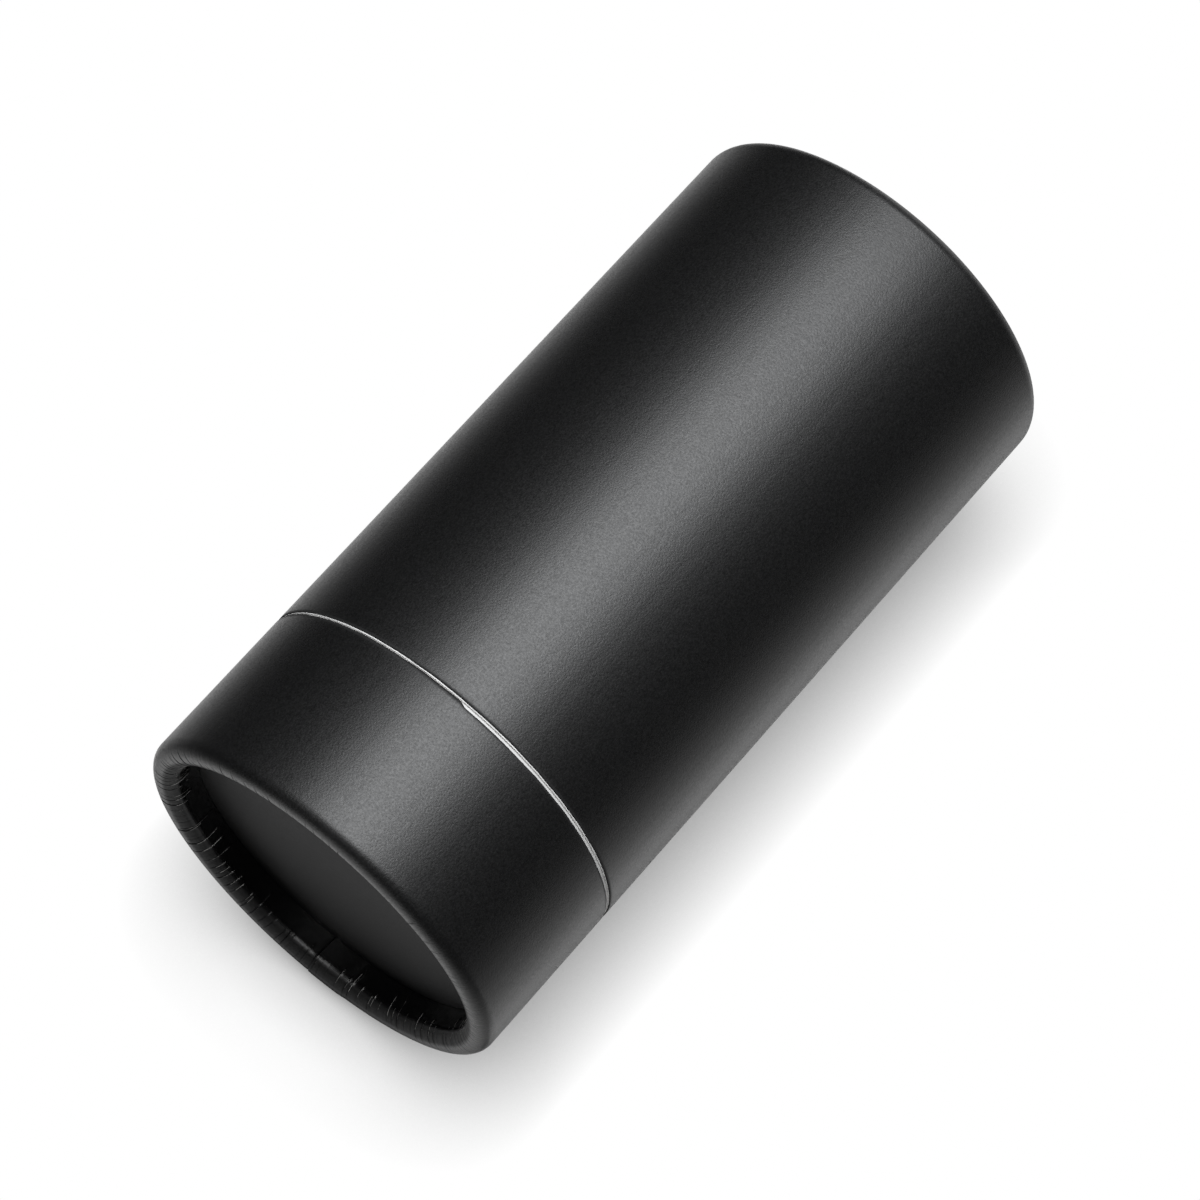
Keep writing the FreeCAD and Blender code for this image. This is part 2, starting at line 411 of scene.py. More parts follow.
# %% Lap and bare strip
LAP_STEP = 0.05 * MM
DRAPE_FROM, DRAPE_TO = 1.2 * MM, 0.3 * MM  # inside and outside the lap's soft edge
LAP_THINNED, LAP_THIN_BY = 0.45, 3.0 * MM  # share that the roll presses it, and how far along
CREASE, CREASE_SHIFT, CREASE_SHARE = 0.07 * MM, 0.06 * MM, 0.6
BARE_FROM, BARE_TO = math.radians(66), math.radians(169)
BARE_RISE, BARE_STEP = 0.35, 0.02  # radians


def lap_height(angles, along):
    """One paper thickness between the lap's edges: a step at one edge and a slope at the other.

    On the roll the lap is pressed thinner, and a crease, -exp(-(x/c)^2), runs beside its step.
    """
    across = ((angles + math.pi) % math.tau - math.pi) * radius
    step = smooth_step(-LAP_HALF - LAP_STEP, -LAP_HALF + LAP_STEP, across)
    slope = 1 - smooth_step(LAP_HALF - DRAPE_FROM, LAP_HALF + DRAPE_TO, across)
    on_roll = smooth_step(0, LAP_THIN_BY, along)
    crease = np.exp(-(((across + LAP_HALF + CREASE_SHIFT) / CREASE) ** 2))
    lapped = np.multiply.outer(1 - LAP_THINNED * on_roll, step * slope)
    return PAPER * (lapped - CREASE_SHARE * np.multiply.outer(on_roll, crease))


def bare_strip(angles, strips):
    """Width of raw board below the cut edge: one width between two angles and another elsewhere."""
    begun = smooth_step(BARE_FROM, BARE_FROM + BARE_RISE, angles)
    ended = smooth_step(BARE_TO - BARE_STEP, BARE_TO + BARE_STEP, angles)
    return strips[1] + (strips[0] - strips[1]) * (begun - ended)


print(f"lap: {2 * LAP_HALF / MM:.0f} mm wide, with one hard edge and one soft edge")

# %% Shape of the paper
EDGE_WANDER, WANDER_WAVES = 0.03 * MM, (4, 40)
EDGE_NICKS, NICK_WAVES = 0.008 * MM, (120, 420, 60)
EDGE_LIFT, LIFT_WAVES, MOST_LIFT = 0.02 * MM, (5, 60), 1.5
EDGE_REACH = 0.6 * MM
EDGE_DROP, DROP_REACH = 0.11 * MM, 0.18 * MM
WALL_WAVE, WAVE_COUNTS, WAVE_RATE = 0.02 * MM, (3, 9, 8), 40.0
WALL_NORMAL = 0.99  # a row belongs to the wall where its normal points outwards at least this much
TOOL_MARK, TOOL_WIDTH = 0.05 * MM, 0.2 * MM
BACK_EVERY = 5  # rows
BACK_APART = 30 * MM  # between face and back on the sheet's UV map
FRAYED = 0.4 * MM
ROLLED_BY = 3.5 * MM
CRUSHED_FROM, CRUSHED_TO = 4.2 * MM, 5.2 * MM


def sheet_height(rng, edge, level, along, angles, on_wall):
    """Height of lifted edge, slow waves, dropped edge, lap and tool mark, each a product of two curves.

    One curve runs down the section and the other goes round the tube.
    """
    below = edge - level
    near_edge = np.exp(-below / EDGE_REACH) * on_wall
    lift = EDGE_LIFT * np.clip(ripple(rng, angles, *LIFT_WAVES), 0, MOST_LIFT)
    wave = WALL_WAVE * np.multiply.outer(np.cos(level * WAVE_RATE), ripple(rng, angles, *WAVE_COUNTS))
    height = np.multiply.outer(near_edge**2, lift) + wave * on_wall[:, None]
    height -= (EDGE_DROP * np.exp(-below / DROP_REACH) * on_wall)[:, None]
    height += lap_height(angles, along)
    turn_end = along[-1] - (leg_end - ROLL_INNER)
    tool = np.exp(-(((along - turn_end) / TOOL_WIDTH) ** 2))
    return height + TOOL_MARK * np.multiply.outer(tool, rng.random(len(angles)))


def with_back(face, behind, count):
    """A value for each row of the face, followed by one value for all rows of the back."""
    return np.concatenate([face, np.full(count, behind)])[:, None]


def cover(edge, rows, seed, strips, way):
    """The rolled section, moved along its normal by pleats and the sheet's own height, and a plain back.

    The edge is where the board was cut. The strips are how far below it the paper stops, counted one way
    round on the base and the other way on the lid.
    """
    rng = np.random.default_rng(seed)
    radial, level, out_r, out_z, along = rolled_section(wall_steps(edge, rows), edge)
    pleats = lay_pleats(rng)
    angles = pleat_columns(pleats)
    height, turning, groove, painted_glint_mask = pleat_relief(pleats, angles, along)
    wander = EDGE_WANDER * ripple(rng, angles, *WANDER_WAVES)
    wander += EDGE_NICKS * ripple(rng, angles, *NICK_WAVES)
    wander -= bare_strip(way * angles % math.tau, strips)
    on_wall = out_r > WALL_NORMAL
    height += sheet_height(rng, edge, level, along, angles, on_wall)
    slide = np.multiply.outer(np.exp(-(edge - level) / EDGE_REACH) * on_wall, wander)
    turned_angles = angles + turning
    face_radial = radial[:, None] + out_r[:, None] * height
    face_level = level[:, None] + out_z[:, None] * height + slide
    picked = thinned(len(radial), 0, BACK_EVERY)[::-1]
    back_radial = (radial - out_r * PAPER)[picked, None]
    back_level = (level - out_z * PAPER)[picked, None] + slide[picked]
    face = turned(face_radial, face_level, turned_angles)
    back = turned(back_radial, back_level, turned_angles[picked])
    count = len(picked)
    blank = np.zeros((count, len(angles)))
    pressed = smooth_step(PRESSED_FROM, PRESSED_TO, along)
    crushed = smooth_step(CRUSHED_FROM, CRUSHED_TO, along) - pressed
    return {
        "grid": np.concatenate([face, back]),
        "around": angles * radius,
        "along": np.concatenate([along, along[picked] + BACK_APART]),
        "groove": np.concatenate([groove, blank]),
        # where the material paints a glint, a pale line, along the lips
        "painted_glint_mask": np.concatenate([painted_glint_mask, blank]),
        "frayed": with_back(np.exp(-(((edge - level) / FRAYED) ** 2)), 1.0, count),
        "rolled": with_back(smooth_step(0, ROLLED_BY, along), 0.0, count),
        "pressed": with_back(pressed, 0.0, count),
        "crushed": with_back(crushed, 0.0, count),
    }


# %% Cover the base and the lid
TOUCH = 0.06 * MM  # by which the furred edges stand past the solids' edges
BASE_STRIPS = 0.38 * MM, 0.03 * MM
LID_STRIPS = 0.20 * MM, 0.22 * MM

base_sheet = cover(base_board_edge + TOUCH, SHORT_WALL_ROWS, seed=11, strips=BASE_STRIPS, way=1)
base_paper = round_mesh("base_paper", **base_sheet)
lid_sheet = cover(lid_board_edge + TOUCH, TALL_WALL_ROWS, seed=23, strips=LID_STRIPS, way=-1)
lid_paper = round_mesh("lid_paper", on_lid=True, **lid_sheet)
stands_for(base_paper, "base", "base_wrap", "black_paper")
stands_for(lid_paper, "lid", "lid_wrap", "black_paper")

# %% [markdown]
# ## The board tubes
# The board is wound from several plies and cut with a knife after it was covered, so a strip of raw board
# shows at the seam. Its cut face is a little rough, ply by ply, and its corners are furred. Only the cut
# edge needs this care: the rest of the tube lies under paper, and every third row of the section is enough
# there.

# %% Cut the board
BOARD_COLUMNS = 1440
BOARD_SHORT_ROWS = 5
PLY_ROWS = np.linspace(1, 0, 9)[1:-1]
HIDDEN_EVERY = 3  # rows
BURR, BURR_REACH = 0.008 * MM, 0.15 * MM
ROUGH_WAVES, ROUGH_SHARE = (60, 500, 40), 0.55
SLOW_WAVES, SLOW_SHARE = (3, 30), 0.45
FLARE, FLARE_REACH = 0.12 * MM, 0.35 * MM
CORNER = 0.03 * MM


def board_tube(edge, rows, seed):
    """The rolled section at two depths, joined by a cut face of rough plies.

    At the edge the rows rise and fall with a ripple, the outer face flares, and both corners are broken.
    """
    rng = np.random.default_rng(seed)
    steps = wall_steps(edge, rows)
    radial, level, out_r, out_z, _ = rolled_section(steps, edge)
    angles = np.arange(BOARD_COLUMNS) * math.tau / BOARD_COLUMNS
    front = thinned(len(radial), len(steps), HIDDEN_EVERY)
    rear = thinned(len(radial), 1, HIDDEN_EVERY)[::-1]
    depth = np.concatenate([
        np.full(len(front), BOARD_FACE),
        np.full(len(rear), BOARD_BACK),
        BOARD_FACE + PLY_ROWS * (BOARD_BACK - BOARD_FACE),
    ])
    order = np.concatenate([front, rear, np.zeros(len(PLY_ROWS), int)])
    r = radial[order] - out_r[order] * depth
    z = level[order] - out_z[order] * depth
    at_edge = np.exp(-(edge - z) / BURR_REACH) * (order < len(steps))
    broken = np.isin(depth, (BOARD_FACE, BOARD_BACK))[:, None]
    rough = np.stack([ripple(rng, angles, *ROUGH_WAVES) for _ in range(len(r))])
    slow = ripple(rng, angles, *SLOW_WAVES)
    rise = BURR * (ROUGH_SHARE * rough + SLOW_SHARE * slow) - CORNER * broken * (0.5 + 0.5 * np.abs(rough))
    flare = FLARE * np.exp(-(edge - z) / FLARE_REACH) * (depth == BOARD_FACE)
    grid = turned(r[:, None] + flare[:, None] + 0 * angles, z[:, None] + at_edge[:, None] * rise, angles)
    return {"grid": grid, "around": angles * radius, "along": np.cumsum(np.full(len(r), MM))}


base_cut = board_tube(base_board_edge + TOUCH, BOARD_SHORT_ROWS, seed=31)
base_board = round_mesh("base_board", **base_cut)
lid_cut = board_tube(lid_board_edge + TOUCH, TALL_WALL_ROWS, seed=37)
lid_board = round_mesh("lid_board", on_lid=True, **lid_cut)
stands_for(base_board, "base", "base_tube", "board")
stands_for(lid_board, "lid", "lid_tube", "board")

# %% [markdown]
# ## The sunk discs
# Each disc is faced with dark paper that was glued on flat. Real facings are never quite flat, and the slow
# unevenness is what a raking light finds, so the face gets waves a few hundredths of a millimetre high.

# %% Face the discs
FACING_RINGS = 48
FACING_COLUMNS = 288
FACING_WAVE = 0.015 * MM
FACING_SINK = 1.2  # keeps nearly all waves on one side of the solid's face
FACING_WAVES, FACING_RATE = 12, 260.0  # how many, and how many radians in a metre


def facing(seed):
    """A thin disc: the lower face is a sum of slow sines in random directions, the upper face is flat."""
    rng = np.random.default_rng(seed)
    angles = np.arange(FACING_COLUMNS) * math.tau / FACING_COLUMNS
    out = np.linspace(0, 1, FACING_RINGS) * disc_radius
    flat = turned(out[:, None], np.full((FACING_RINGS, 1), recess), angles)
    waves = np.zeros(flat.shape[:2])
    for _ in range(FACING_WAVES):
        along_x = flat[..., 0] * rng.normal(0, FACING_RATE)
        along_y = flat[..., 1] * rng.normal(0, FACING_RATE)
        waves += np.sin(along_x + along_y + rng.uniform(0, math.tau)) / math.sqrt(FACING_WAVES)
    lower = flat.copy()
    lower[..., 2] += FACING_WAVE * (waves - FACING_SINK) * (out < leg_face)[:, None]
    upper = flat[::-1] + np.array([0, 0, PAPER])
    grid = np.concatenate([lower, upper])
    along = np.concatenate([out, 2 * disc_radius - out[::-1]])
    return {"grid": grid, "around": angles * radius, "along": along, "closed": False}


base_facing = round_mesh("base_facing", **facing(seed=41))
lid_facing = round_mesh("lid_facing", on_lid=True, **facing(seed=43))
stands_for(base_facing, "base", "base_disc_facing", "facing_paper")
stands_for(lid_facing, "lid", "lid_disc_facing", "facing_paper")

# %% [markdown]
# ## Finishes
# Several finishes share the same effects, so each effect is a node group with named inputs: the mottled
# grain of pressed paper, and the fibres of raw board. A group only gives numbers that change over the
# surface. Every finish then has its own shader, with its own colours and gloss.

# %% Node helpers
def add(tree, kind, **settings):
    """A node with its properties set by name, and its inputs by socket name."""
    made = tree.nodes.new(kind)
    for key, value in settings.items():
        if hasattr(made, key):
            setattr(made, key, value)
        else:
            made.inputs[key.replace("_", " ")].default_value = value
    return made


def joined(tree, operation, first, second):
    """One number worked out from two others, such as their product or the larger one."""
    made = add(tree, "ShaderNodeMath", operation=operation)
    tree.links.new(first, made.inputs[0])
    tree.links.new(second, made.inputs[1])
    return made.outputs[0]


def worked_out(tree, operation, value, number=0.0):
    """One number worked out from another and a constant, which some operations leave aside."""
    made = add(tree, "ShaderNodeMath", operation=operation)
    tree.links.new(value, made.inputs[0])
    made.inputs[1].default_value = number
    return made.outputs[0]


def sum_of(tree, first, second, share):
    """first + second * share."""
    made = add(tree, "ShaderNodeMath", operation="MULTIPLY_ADD")
    tree.links.new(second, made.inputs[0])
    made.inputs[1].default_value = share
    tree.links.new(first, made.inputs[2])
    return made.outputs[0]


def between(tree, value, low, high, start=0.0, end=1.0):
    """A number between low and high, spread over two other numbers."""
    made = add(tree, "ShaderNodeMapRange")
    tree.links.new(value, made.inputs["Value"])
    for socket, number in zip(("From Min", "From Max", "To Min", "To Max"), (low, high, start, end)):
        made.inputs[socket].default_value = number
    return made.outputs["Result"]


def shared_effect(name, cells, outputs):
    """An empty node group with a vector input called Place, a number called Cells, and float outputs."""
    group = bpy.data.node_groups.new(name, "ShaderNodeTree")
    group.interface.new_socket("Place", in_out="INPUT", socket_type="NodeSocketVector")
    group.interface.new_socket("Cells", in_out="INPUT", socket_type="NodeSocketFloat").default_value = cells
    for socket in outputs:
        group.interface.new_socket(socket, in_out="OUTPUT", socket_type="NodeSocketFloat")
    return group, add(group, "NodeGroupInput"), add(group, "NodeGroupOutput")


# %% Grain of pressed paper
TUFT_CELLS, TUFT_SHARE = 0.5, 0.15  # tufts are twice as wide as pores, and lower
grain, grain_in, grain_out = shared_effect("paper grain", 1800.0, ["Height", "Mottle"])
pores = add(grain, "ShaderNodeTexNoise", Detail=3.0, Roughness=0.55)
tufts = add(grain, "ShaderNodeTexNoise", Detail=2.0, Roughness=0.5)
for cloud in (pores, tufts):
    grain.links.new(grain_in.outputs["Place"], cloud.inputs["Vector"])
fewer = worked_out(grain, "MULTIPLY", grain_in.outputs["Cells"], TUFT_CELLS)
grain.links.new(grain_in.outputs["Cells"], pores.inputs["Scale"])
grain.links.new(fewer, tufts.inputs["Scale"])
raised = sum_of(grain, pores.outputs["Fac"], tufts.outputs["Fac"], TUFT_SHARE)
grain.links.new(raised, grain_out.inputs["Height"])
grain.links.new(tufts.outputs["Fac"], grain_out.inputs["Mottle"])
print("effect:", grain.name)

# %% Fibres of raw board
fibres, fibres_in, fibres_out = shared_effect("board fibres", 900.0, ["Height", "Fleck"])
pulp = add(fibres, "ShaderNodeTexNoise", Detail=5.0, Roughness=0.65, Distortion=1.2)
flecks = add(fibres, "ShaderNodeTexVoronoi", feature="DISTANCE_TO_EDGE", Randomness=1.0)
for cloud in (pulp, flecks):
    fibres.links.new(fibres_in.outputs["Place"], cloud.inputs["Vector"])
    fibres.links.new(fibres_in.outputs["Cells"], cloud.inputs["Scale"])
fibres.links.new(pulp.outputs["Fac"], fibres_out.inputs["Height"])
fibres.links.new(flecks.outputs["Distance"], fibres_out.inputs["Fleck"])
print("effect:", fibres.name)

# %% [markdown]
# ## Black paper, dark facing, raw board and pale paper
# The black paper has a soft-touch film: almost black, with a broad dull highlight and a fine grain in it.
# Rolling changes the film. Hairlines run over the roll, the turn into the leg is crushed and dull, and the
# leg is pressed smooth and glossy, with a painted glint, a pale line in the colour, along the lips. The
# mesh carries each of these as a value, and the material only says what the value does. The facing is
# nearly black too, without film, so it has a weak sheen. The board and the lining are pale, uncoated and
# fibrous.

# %% Finish helpers
def finish(name, **plain):
    """A material with one shader, whose plain numbers are set on the shader's own sockets."""
    made = bpy.data.materials.new(name)
    made.use_nodes = True
    shader = made.node_tree.nodes["Principled BSDF"]
    for key, value in plain.items():
        shader.inputs[key.replace("_", " ")].default_value = value
    place = add(made.node_tree, "ShaderNodeTexCoord")
    return made, made.node_tree, shader, place.outputs["Object"]


def placed(tree, effect, place, cells):
    """A shared effect with so many cells in a metre."""
    made = add(tree, "ShaderNodeGroup")
    made.node_tree = effect
    tree.links.new(place, made.inputs["Place"])
    made.inputs["Cells"].default_value = cells
    return made


def carried(tree, name):
    """The value that the mesh carries under a name at every point."""
    return add(tree, "ShaderNodeAttribute", attribute_name=name).outputs["Fac"]


MIX_FIRST, MIX_SECOND, MIX_RESULT = 6, 7, 2  # a Mix node's colour sockets share names with its others


def tint(tree, share, dark, light):
    """dark + (light - dark) * share, by a share that changes over the surface. Dark may be a socket."""
    made = add(tree, "ShaderNodeMix", data_type="RGBA")
    tree.links.new(share, made.inputs["Factor"])
    if isinstance(dark, tuple):
        made.inputs[MIX_FIRST].default_value = (*dark, 1)
    else:
        tree.links.new(dark, made.inputs[MIX_FIRST])
    made.inputs[MIX_SECOND].default_value = (*light, 1)
    return made.outputs[MIX_RESULT]


def roughen(tree, shader, height, distance):
    """Bump the shader's normal by a height between 0 and 1 that stands for a distance."""
    bump = add(tree, "ShaderNodeBump", Distance=distance, Strength=1.0)
    tree.links.new(height, bump.inputs["Height"])
    tree.links.new(bump.outputs["Normal"], shader.inputs["Normal"])


# %% Colour and gloss of the black paper
PAPER_CELLS = 3000.0
GRAIN_LOW, GRAIN_HIGH = 0.35, 0.8  # nearly all of the grain's heights lie between these
MOTTLE_LOW, MOTTLE_HIGH = 0.3, 0.7
FILM_DARK, FILM_LIGHT = (0.0030, 0.0030, 0.0032), (0.0062, 0.0062, 0.0065)
# colour of the painted glint along the lips on the leg
PAINTED_GLINT_COLOUR = (0.70, 0.69, 0.67)
PAINTED_GLINT_GRAIN, PAINTED_GLINT_STARTS, PAINTED_GLINT_WHOLE = 0.9, 0.85, 1.3  # the grain breaks the painted glints up
FILM_GLOSSY, FILM_DULL = 0.37, 0.51
PRESSED_GRAIN, PRESSED_DULL = 0.15, 0.18  # what pressing leaves of the grain, and the dullness it adds
DULLED = {"crushed": 0.35, "groove": 0.3, "frayed": 0.6}

black, tree, shader, place = finish("black_paper", IOR=1.65)
paper = placed(tree, grain, place, PAPER_CELLS)
mottle = between(tree, paper.outputs["Mottle"], MOTTLE_LOW, MOTTLE_HIGH)
mottled = tint(tree, mottle, FILM_DARK, FILM_LIGHT)
# painted glint: the pale colour along the lips, broken up by the grain
broken = sum_of(tree, carried(tree, "painted_glint_mask"), paper.outputs["Height"], PAINTED_GLINT_GRAIN)
painted_glint = tint(tree, between(tree, broken, PAINTED_GLINT_STARTS, PAINTED_GLINT_WHOLE), mottled, PAINTED_GLINT_COLOUR)
tree.links.new(painted_glint, shader.inputs["Base Color"])
pressed = carried(tree, "pressed")
loose = between(tree, pressed, 0.0, 1.0, 1.0, PRESSED_GRAIN)
dull = between(tree, paper.outputs["Height"], GRAIN_LOW, GRAIN_HIGH, FILM_GLOSSY, FILM_DULL)
dull = sum_of(tree, joined(tree, "MULTIPLY", dull, loose), pressed, PRESSED_DULL)
for name, share in DULLED.items():
    dull = sum_of(tree, dull, carried(tree, name), share)
tree.links.new(dull, shader.inputs["Roughness"])
print("finish:", black.name)

# %% Relief of the black paper
HAIRLINES, HAIRLINE_SHARE = (2200.0, 160.0, 1.0), 1.5  # cells in a metre round the tube and along the sheet
FILM_RELIEF = 0.035 * MM

sheet = add(tree, "ShaderNodeUVMap", uv_map="sheet")
drawn_out = add(tree, "ShaderNodeMapping", Scale=HAIRLINES)
tree.links.new(sheet.outputs["UV"], drawn_out.inputs["Vector"])
hairlines = add(tree, "ShaderNodeTexNoise", noise_dimensions="2D", Scale=1.0, Detail=1.0)
tree.links.new(drawn_out.outputs["Vector"], hairlines.inputs["Vector"])
on_roll = sum_of(tree, carried(tree, "rolled"), pressed, -1.0)
lines = joined(tree, "MULTIPLY", hairlines.outputs["Fac"], on_roll)
relief = sum_of(tree, paper.outputs["Height"], lines, HAIRLINE_SHARE)
roughen(tree, shader, joined(tree, "MULTIPLY", relief, loose), FILM_RELIEF)
print("hairlines on the roll:", HAIRLINE_SHARE, "times as high as the grain")

# %% Facing of the discs
FACING_DARK, FACING_LIGHT = (0.0040, 0.0040, 0.0041), (0.0190, 0.0190, 0.0194)
FACING_GLOSSY, FACING_DULL = 0.50, 0.62
FACING_RELIEF = 0.04 * MM

dark, tree, shader, place = finish("facing_paper", Specular_IOR_Level=0.14)
paper = placed(tree, grain, place, PAPER_CELLS)
height = paper.outputs["Height"]
colour = tint(tree, between(tree, height, GRAIN_LOW, GRAIN_HIGH), FACING_DARK, FACING_LIGHT)
tree.links.new(colour, shader.inputs["Base Color"])
dull = between(tree, height, GRAIN_LOW, GRAIN_HIGH, FACING_GLOSSY, FACING_DULL)
tree.links.new(dull, shader.inputs["Roughness"])
roughen(tree, shader, height, FACING_RELIEF)
print("finish:", dark.name)

# %% Raw board and pale paper
PULP_LOW, PULP_HIGH = 0.3, 0.7
WIDEST_FLECK = 0.5
PULP_RELIEF = 0.03 * MM


def fibrous(name, cells, colours, roughness):
    """Pale pulp: its colour follows the fibres' height, and flecks are a little smoother in the middle."""
    made, tree, shader, place = finish(name, Specular_IOR_Level=0.3)
    pulp = placed(tree, fibres, place, cells)
    colour = tint(tree, between(tree, pulp.outputs["Height"], PULP_LOW, PULP_HIGH), *colours)
    tree.links.new(colour, shader.inputs["Base Color"])
    dull = between(tree, pulp.outputs["Fleck"], 0.0, WIDEST_FLECK, *roughness)
    tree.links.new(dull, shader.inputs["Roughness"])
    roughen(tree, shader, pulp.outputs["Height"], PULP_RELIEF)
    print("finish:", made.name)
    return made


raw = fibrous("board", 1400.0, ((0.92, 0.915, 0.905), (0.97, 0.965, 0.955)), (0.95, 0.85))
pale = fibrous("lining_paper", 1100.0, ((0.80, 0.79, 0.76), (0.88, 0.87, 0.84)), (0.9, 0.8))

# %% Dress the pieces
FINISHES = {"black_paper": black, "facing_paper": dark, "board": raw, "lining_paper": pale}
new_pieces = (base_paper, lid_paper, base_board, lid_board, base_facing, lid_facing)
for piece in new_pieces:
    piece.data.materials.append(FINISHES[piece["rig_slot"]])
for row in frame["record"]["subparts"]:
    for slot in nodes[row["node"]].material_slots:
        slot.material = FINISHES[row["material_slot"]]
print("dressed:", len(nodes), "nodes and", len(new_pieces), "new pieces")

# %% [markdown]
# ## The camera
# The tube lies on its back in front of the camera, with its foot towards us. In the tube's own frame that
# means a camera below the foot, looking up along the tube. Four things settle it: the angle of the tube
# in the picture, how far it leans away, where the foot's centre is, and the lens.

# %% Place the camera
TUBE_ANGLE = math.radians(47.69)
TUBE_LEAN = math.radians(20.19)
FOOT_FROM_CAMERA = Vector((-44.80, -48.16, -720.92)) * MM
LENS = 137.8  # millimetres, as Blender counts lenses
SENSOR = 36.0
NEAREST = 0.01

tube_axis = Vector((
    math.cos(TUBE_LEAN) * math.cos(TUBE_ANGLE),
    math.cos(TUBE_LEAN) * math.sin(TUBE_ANGLE),
    -math.sin(TUBE_LEAN),
))
floor_slope = math.atan2(tube_axis.y, -tube_axis.z)
back_axis = -Vector((0, math.cos(floor_slope), math.sin(floor_slope)))
side_axis = back_axis.cross(tube_axis)
seen = Matrix((side_axis, back_axis, tube_axis))
lens = bpy.data.cameras.new("photo_camera")
lens.lens = LENS
lens.sensor_width = SENSOR
lens.clip_start = NEAREST
camera = bpy.data.objects.new("photo_camera", lens)
camera.matrix_world = Matrix.Translation(-(seen @ FOOT_FROM_CAMERA)) @ seen.to_4x4()
bpy.context.scene.collection.objects.link(camera)
bpy.context.scene.camera = camera
print("camera at", [round(part, 4) for part in camera.location])

# %% [markdown]
# ## The floors
# In the picture the tube lies on a white floor, and from other sides it stands on one. Both floors are
# here, and each shows only where it makes sense: the lying floor to a camera in front of it and below the
# foot, the standing floor to a camera above it. Neither blocks any light. The shadow is soft and close to
# the tube, so each floor is darkened by how much of its near surroundings the tube hides. The black paper
# shows the lying floor as a pale edge along both sides, and the sunk disc shows the white floor ahead of
# the foot.

# %% Floor pieces
FLOOR_SIZE = 4.0


def floor_piece(name, place, across, along):
    """A square in the plane of two directions, facing along their cross product."""
    mesh = bpy.data.meshes.new(name)
    signs = ((-1, -1), (1, -1), (1, 1), (-1, 1))
    corners = [place + across * a * FLOOR_SIZE / 2 + along * b * FLOOR_SIZE / 2 for a, b in signs]
    mesh.from_pydata([tuple(corner) for corner in corners], [], [(0, 1, 2, 3)])
    piece = bpy.data.objects.new(name, mesh)
    bpy.context.scene.collection.objects.link(piece)
    piece.visible_shadow = False
    return piece


X, Y, Z = Vector((1, 0, 0)), Vector((0, 1, 0)), Vector((0, 0, 1))
lying_floor = floor_piece("lying_floor", Y * (cad_box[1][1] + GLUE), X, Z)
standing_floor = floor_piece("standing_floor", Z * -GLUE, X, Y)
print("floors:", lying_floor.name, "and", standing_floor.name)

# %% Light from the lying floor
BOUNCE_SIDE, BOUNCE_FRONT = 2.0, 1.0
BOUNCE_SHIFT, BOUNCE_FADE = 15 * MM, 50 * MM
FOOT_SHADE, FOOT_SHADE_FROM, FOOT_SHADE_END = 0.02, 1 * MM, 8 * MM
CONTACT = 40 * MM  # half the width of floor that the tube itself covers


def mixed(tree, share, first, second):
    """The first shader where the share is 0, and the second where it is 1."""
    made = add(tree, "ShaderNodeMixShader")
    tree.links.new(share, made.inputs[0])
    tree.links.new(first, made.inputs[1])
    tree.links.new(second, made.inputs[2])
    return made.outputs[0]


def glow(tree, strength):
    """White light of a strength that changes over the surface."""
    made = add(tree, "ShaderNodeEmission")
    tree.links.new(strength, made.inputs["Strength"])
    return made.outputs[0]


def bounce_light(tree, rays, place, front, below):
    """What the tube sees of the floor: B exp(-d/l) at a distance d beside it, and white ahead of the foot.

    The foot's own shadow darkens the first few millimetres ahead of it.
    """
    side = worked_out(tree, "ABSOLUTE", place.outputs["X"])
    shifted = worked_out(tree, "ABSOLUTE", worked_out(tree, "ADD", place.outputs["X"], BOUNCE_SHIFT))
    beside = worked_out(tree, "MAXIMUM", worked_out(tree, "SUBTRACT", shifted, radius))
    faded = worked_out(tree, "EXPONENT", worked_out(tree, "DIVIDE", beside, -BOUNCE_FADE))
    shaded = between(tree, place.outputs["Z"], -FOOT_SHADE_END, -FOOT_SHADE_FROM, BOUNCE_FRONT, FOOT_SHADE)
    uncovered = joined(tree, "MAXIMUM", below, worked_out(tree, "GREATER_THAN", side, CONTACT))
    bounced = joined(tree, "MAXIMUM", rays.outputs["Is Glossy Ray"], rays.outputs["Is Diffuse Ray"])
    seen_by = joined(tree, "MULTIPLY", joined(tree, "MULTIPLY", bounced, front), uncovered)
    beside_light = glow(tree, worked_out(tree, "MULTIPLY", faded, BOUNCE_SIDE))
    ahead_light = glow(tree, joined(tree, "MULTIPLY", faded, shaded))
    return seen_by, mixed(tree, below, beside_light, ahead_light)


# %% White of the floors
SKY_REACH, SKY_SAMPLES = 20 * MM, 16
SHADE_DEPTH = 1.12
HALF = 0.5  # between no, which is 0, and yes, which is 1 or more


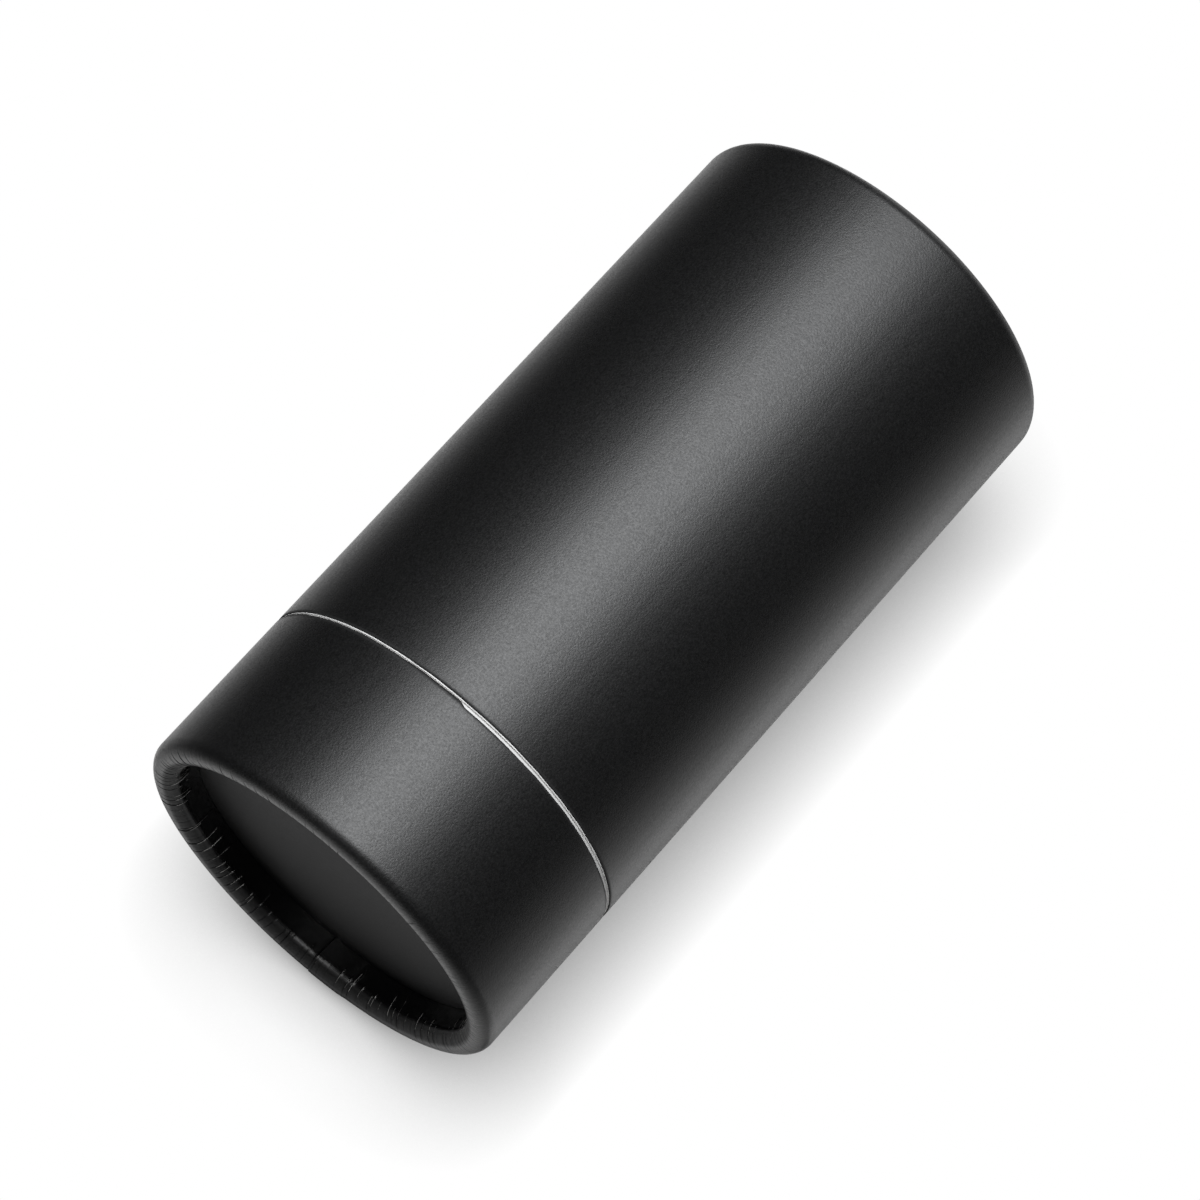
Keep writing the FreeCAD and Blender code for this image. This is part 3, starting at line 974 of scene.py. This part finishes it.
def floor_finish(name, lying):
    """White to the camera from the front, darker where the object hides the sky, and clear from behind."""
    made = bpy.data.materials.new(name)
    made.use_nodes = True
    tree = made.node_tree
    tree.nodes.clear()
    rays = add(tree, "ShaderNodeLightPath")
    sides = add(tree, "ShaderNodeNewGeometry")
    front = worked_out(tree, "LESS_THAN", sides.outputs["Backfacing"], HALF)
    shown = joined(tree, "MULTIPLY", rays.outputs["Is Camera Ray"], front)
    surface = add(tree, "ShaderNodeBsdfTransparent").outputs[0]
    if lying:
        place = add(tree, "ShaderNodeSeparateXYZ")
        tree.links.new(sides.outputs["Position"], place.inputs[0])
        below = worked_out(tree, "LESS_THAN", place.outputs["Z"])
        through = worked_out(tree, "GREATER_THAN", rays.outputs["Transparent Depth"], HALF)
        shown = joined(tree, "MULTIPLY", shown, joined(tree, "MAXIMUM", below, through))
        seen_by, bounce = bounce_light(tree, rays, place, front, below)
        surface = mixed(tree, seen_by, surface, bounce)
    sky = add(tree, "ShaderNodeAmbientOcclusion", samples=SKY_SAMPLES, Distance=SKY_REACH)
    white = glow(tree, worked_out(tree, "POWER", sky.outputs["AO"], SHADE_DEPTH))
    surface = mixed(tree, shown, surface, white)
    tree.links.new(surface, add(tree, "ShaderNodeOutputMaterial").inputs["Surface"])
    print("floor finish:", name)
    return made


lying_floor.data.materials.append(floor_finish("lying_floor_white", lying=True))
standing_floor.data.materials.append(floor_finish("standing_floor_white", lying=False))

# %% [markdown]
# ## The light
# A soft panel over the lying tube gives the broad highlight along it, a little cool as daylight is. A
# narrow panel in front finds the turn of the roll and the lips on the leg, and weaker ones light the foot,
# the back and the top, so that the box reads from every side. The world is white to the camera and dim to
# the tube.

# %% Panels
MIDDLE = Vector((0, 0, 70 * MM))
WHITE, COOL = (1, 1, 1), (0.97, 0.985, 1.0)


def panel(name, direction, distance, size, radiance, aim=MIDDLE, tone=WHITE):
    """A soft rectangle that looks at the tube. Its power is pi times its radiance times its area."""
    width, height = size
    lamp = bpy.data.lights.new(name, "AREA")
    lamp.shape = "RECTANGLE"
    lamp.size = width
    lamp.size_y = height
    lamp.energy = math.pi * radiance * width * height
    lamp.color = tone
    piece = bpy.data.objects.new(name, lamp)
    heading = Vector(direction).normalized()
    piece.location = aim + heading * distance
    piece.rotation_mode = "QUATERNION"
    piece.rotation_quaternion = (-heading).to_track_quat("-Z", "Y")
    bpy.context.scene.collection.objects.link(piece)
    print(f"{name}: {lamp.energy:.2f} W")


UNDER_FOOT = Z * -35 * MM
KEY = {"distance": 0.822, "size": (0.526, 0.553), "radiance": 6.7, "aim": UNDER_FOOT, "tone": COOL}

panel("key_panel", (0.077, -0.77, 0.275), **KEY)
panel("front_panel", (0.0, -0.95, -0.30), distance=0.90, size=(0.5, 0.2), radiance=2.8)
panel("foot_panel", (-0.1, -0.643, -0.766), distance=0.90, size=(0.9, 1.7), radiance=0.04)
panel("back_panel", (-0.25, 0.90, 0.40), distance=0.90, size=(0.45, 0.90), radiance=1.5)
panel("top_panel", (0.0, 0.15, 0.98), distance=0.80, size=(0.60, 0.60), radiance=1.0)

# %% World
SKY_FILL = 0.02
SKY_GLOSS = 0.03

world = bpy.data.worlds.new("white_room")
world.use_nodes = True
bpy.context.scene.world = world
tree = world.node_tree
rays = add(tree, "ShaderNodeLightPath")
direct = joined(tree, "MAXIMUM", rays.outputs["Is Camera Ray"], rays.outputs["Is Transmission Ray"])
level = between(tree, direct, 0.0, 1.0, SKY_FILL, 1.0)
level = sum_of(tree, level, rays.outputs["Is Glossy Ray"], SKY_GLOSS - SKY_FILL)
background = tree.nodes["Background"]
tree.links.new(level, background.inputs["Strength"])
background.inputs["Color"].default_value = (*WHITE, 1)
bpy.context.scene.view_settings.view_transform = "Standard"
print("world:", world.name)
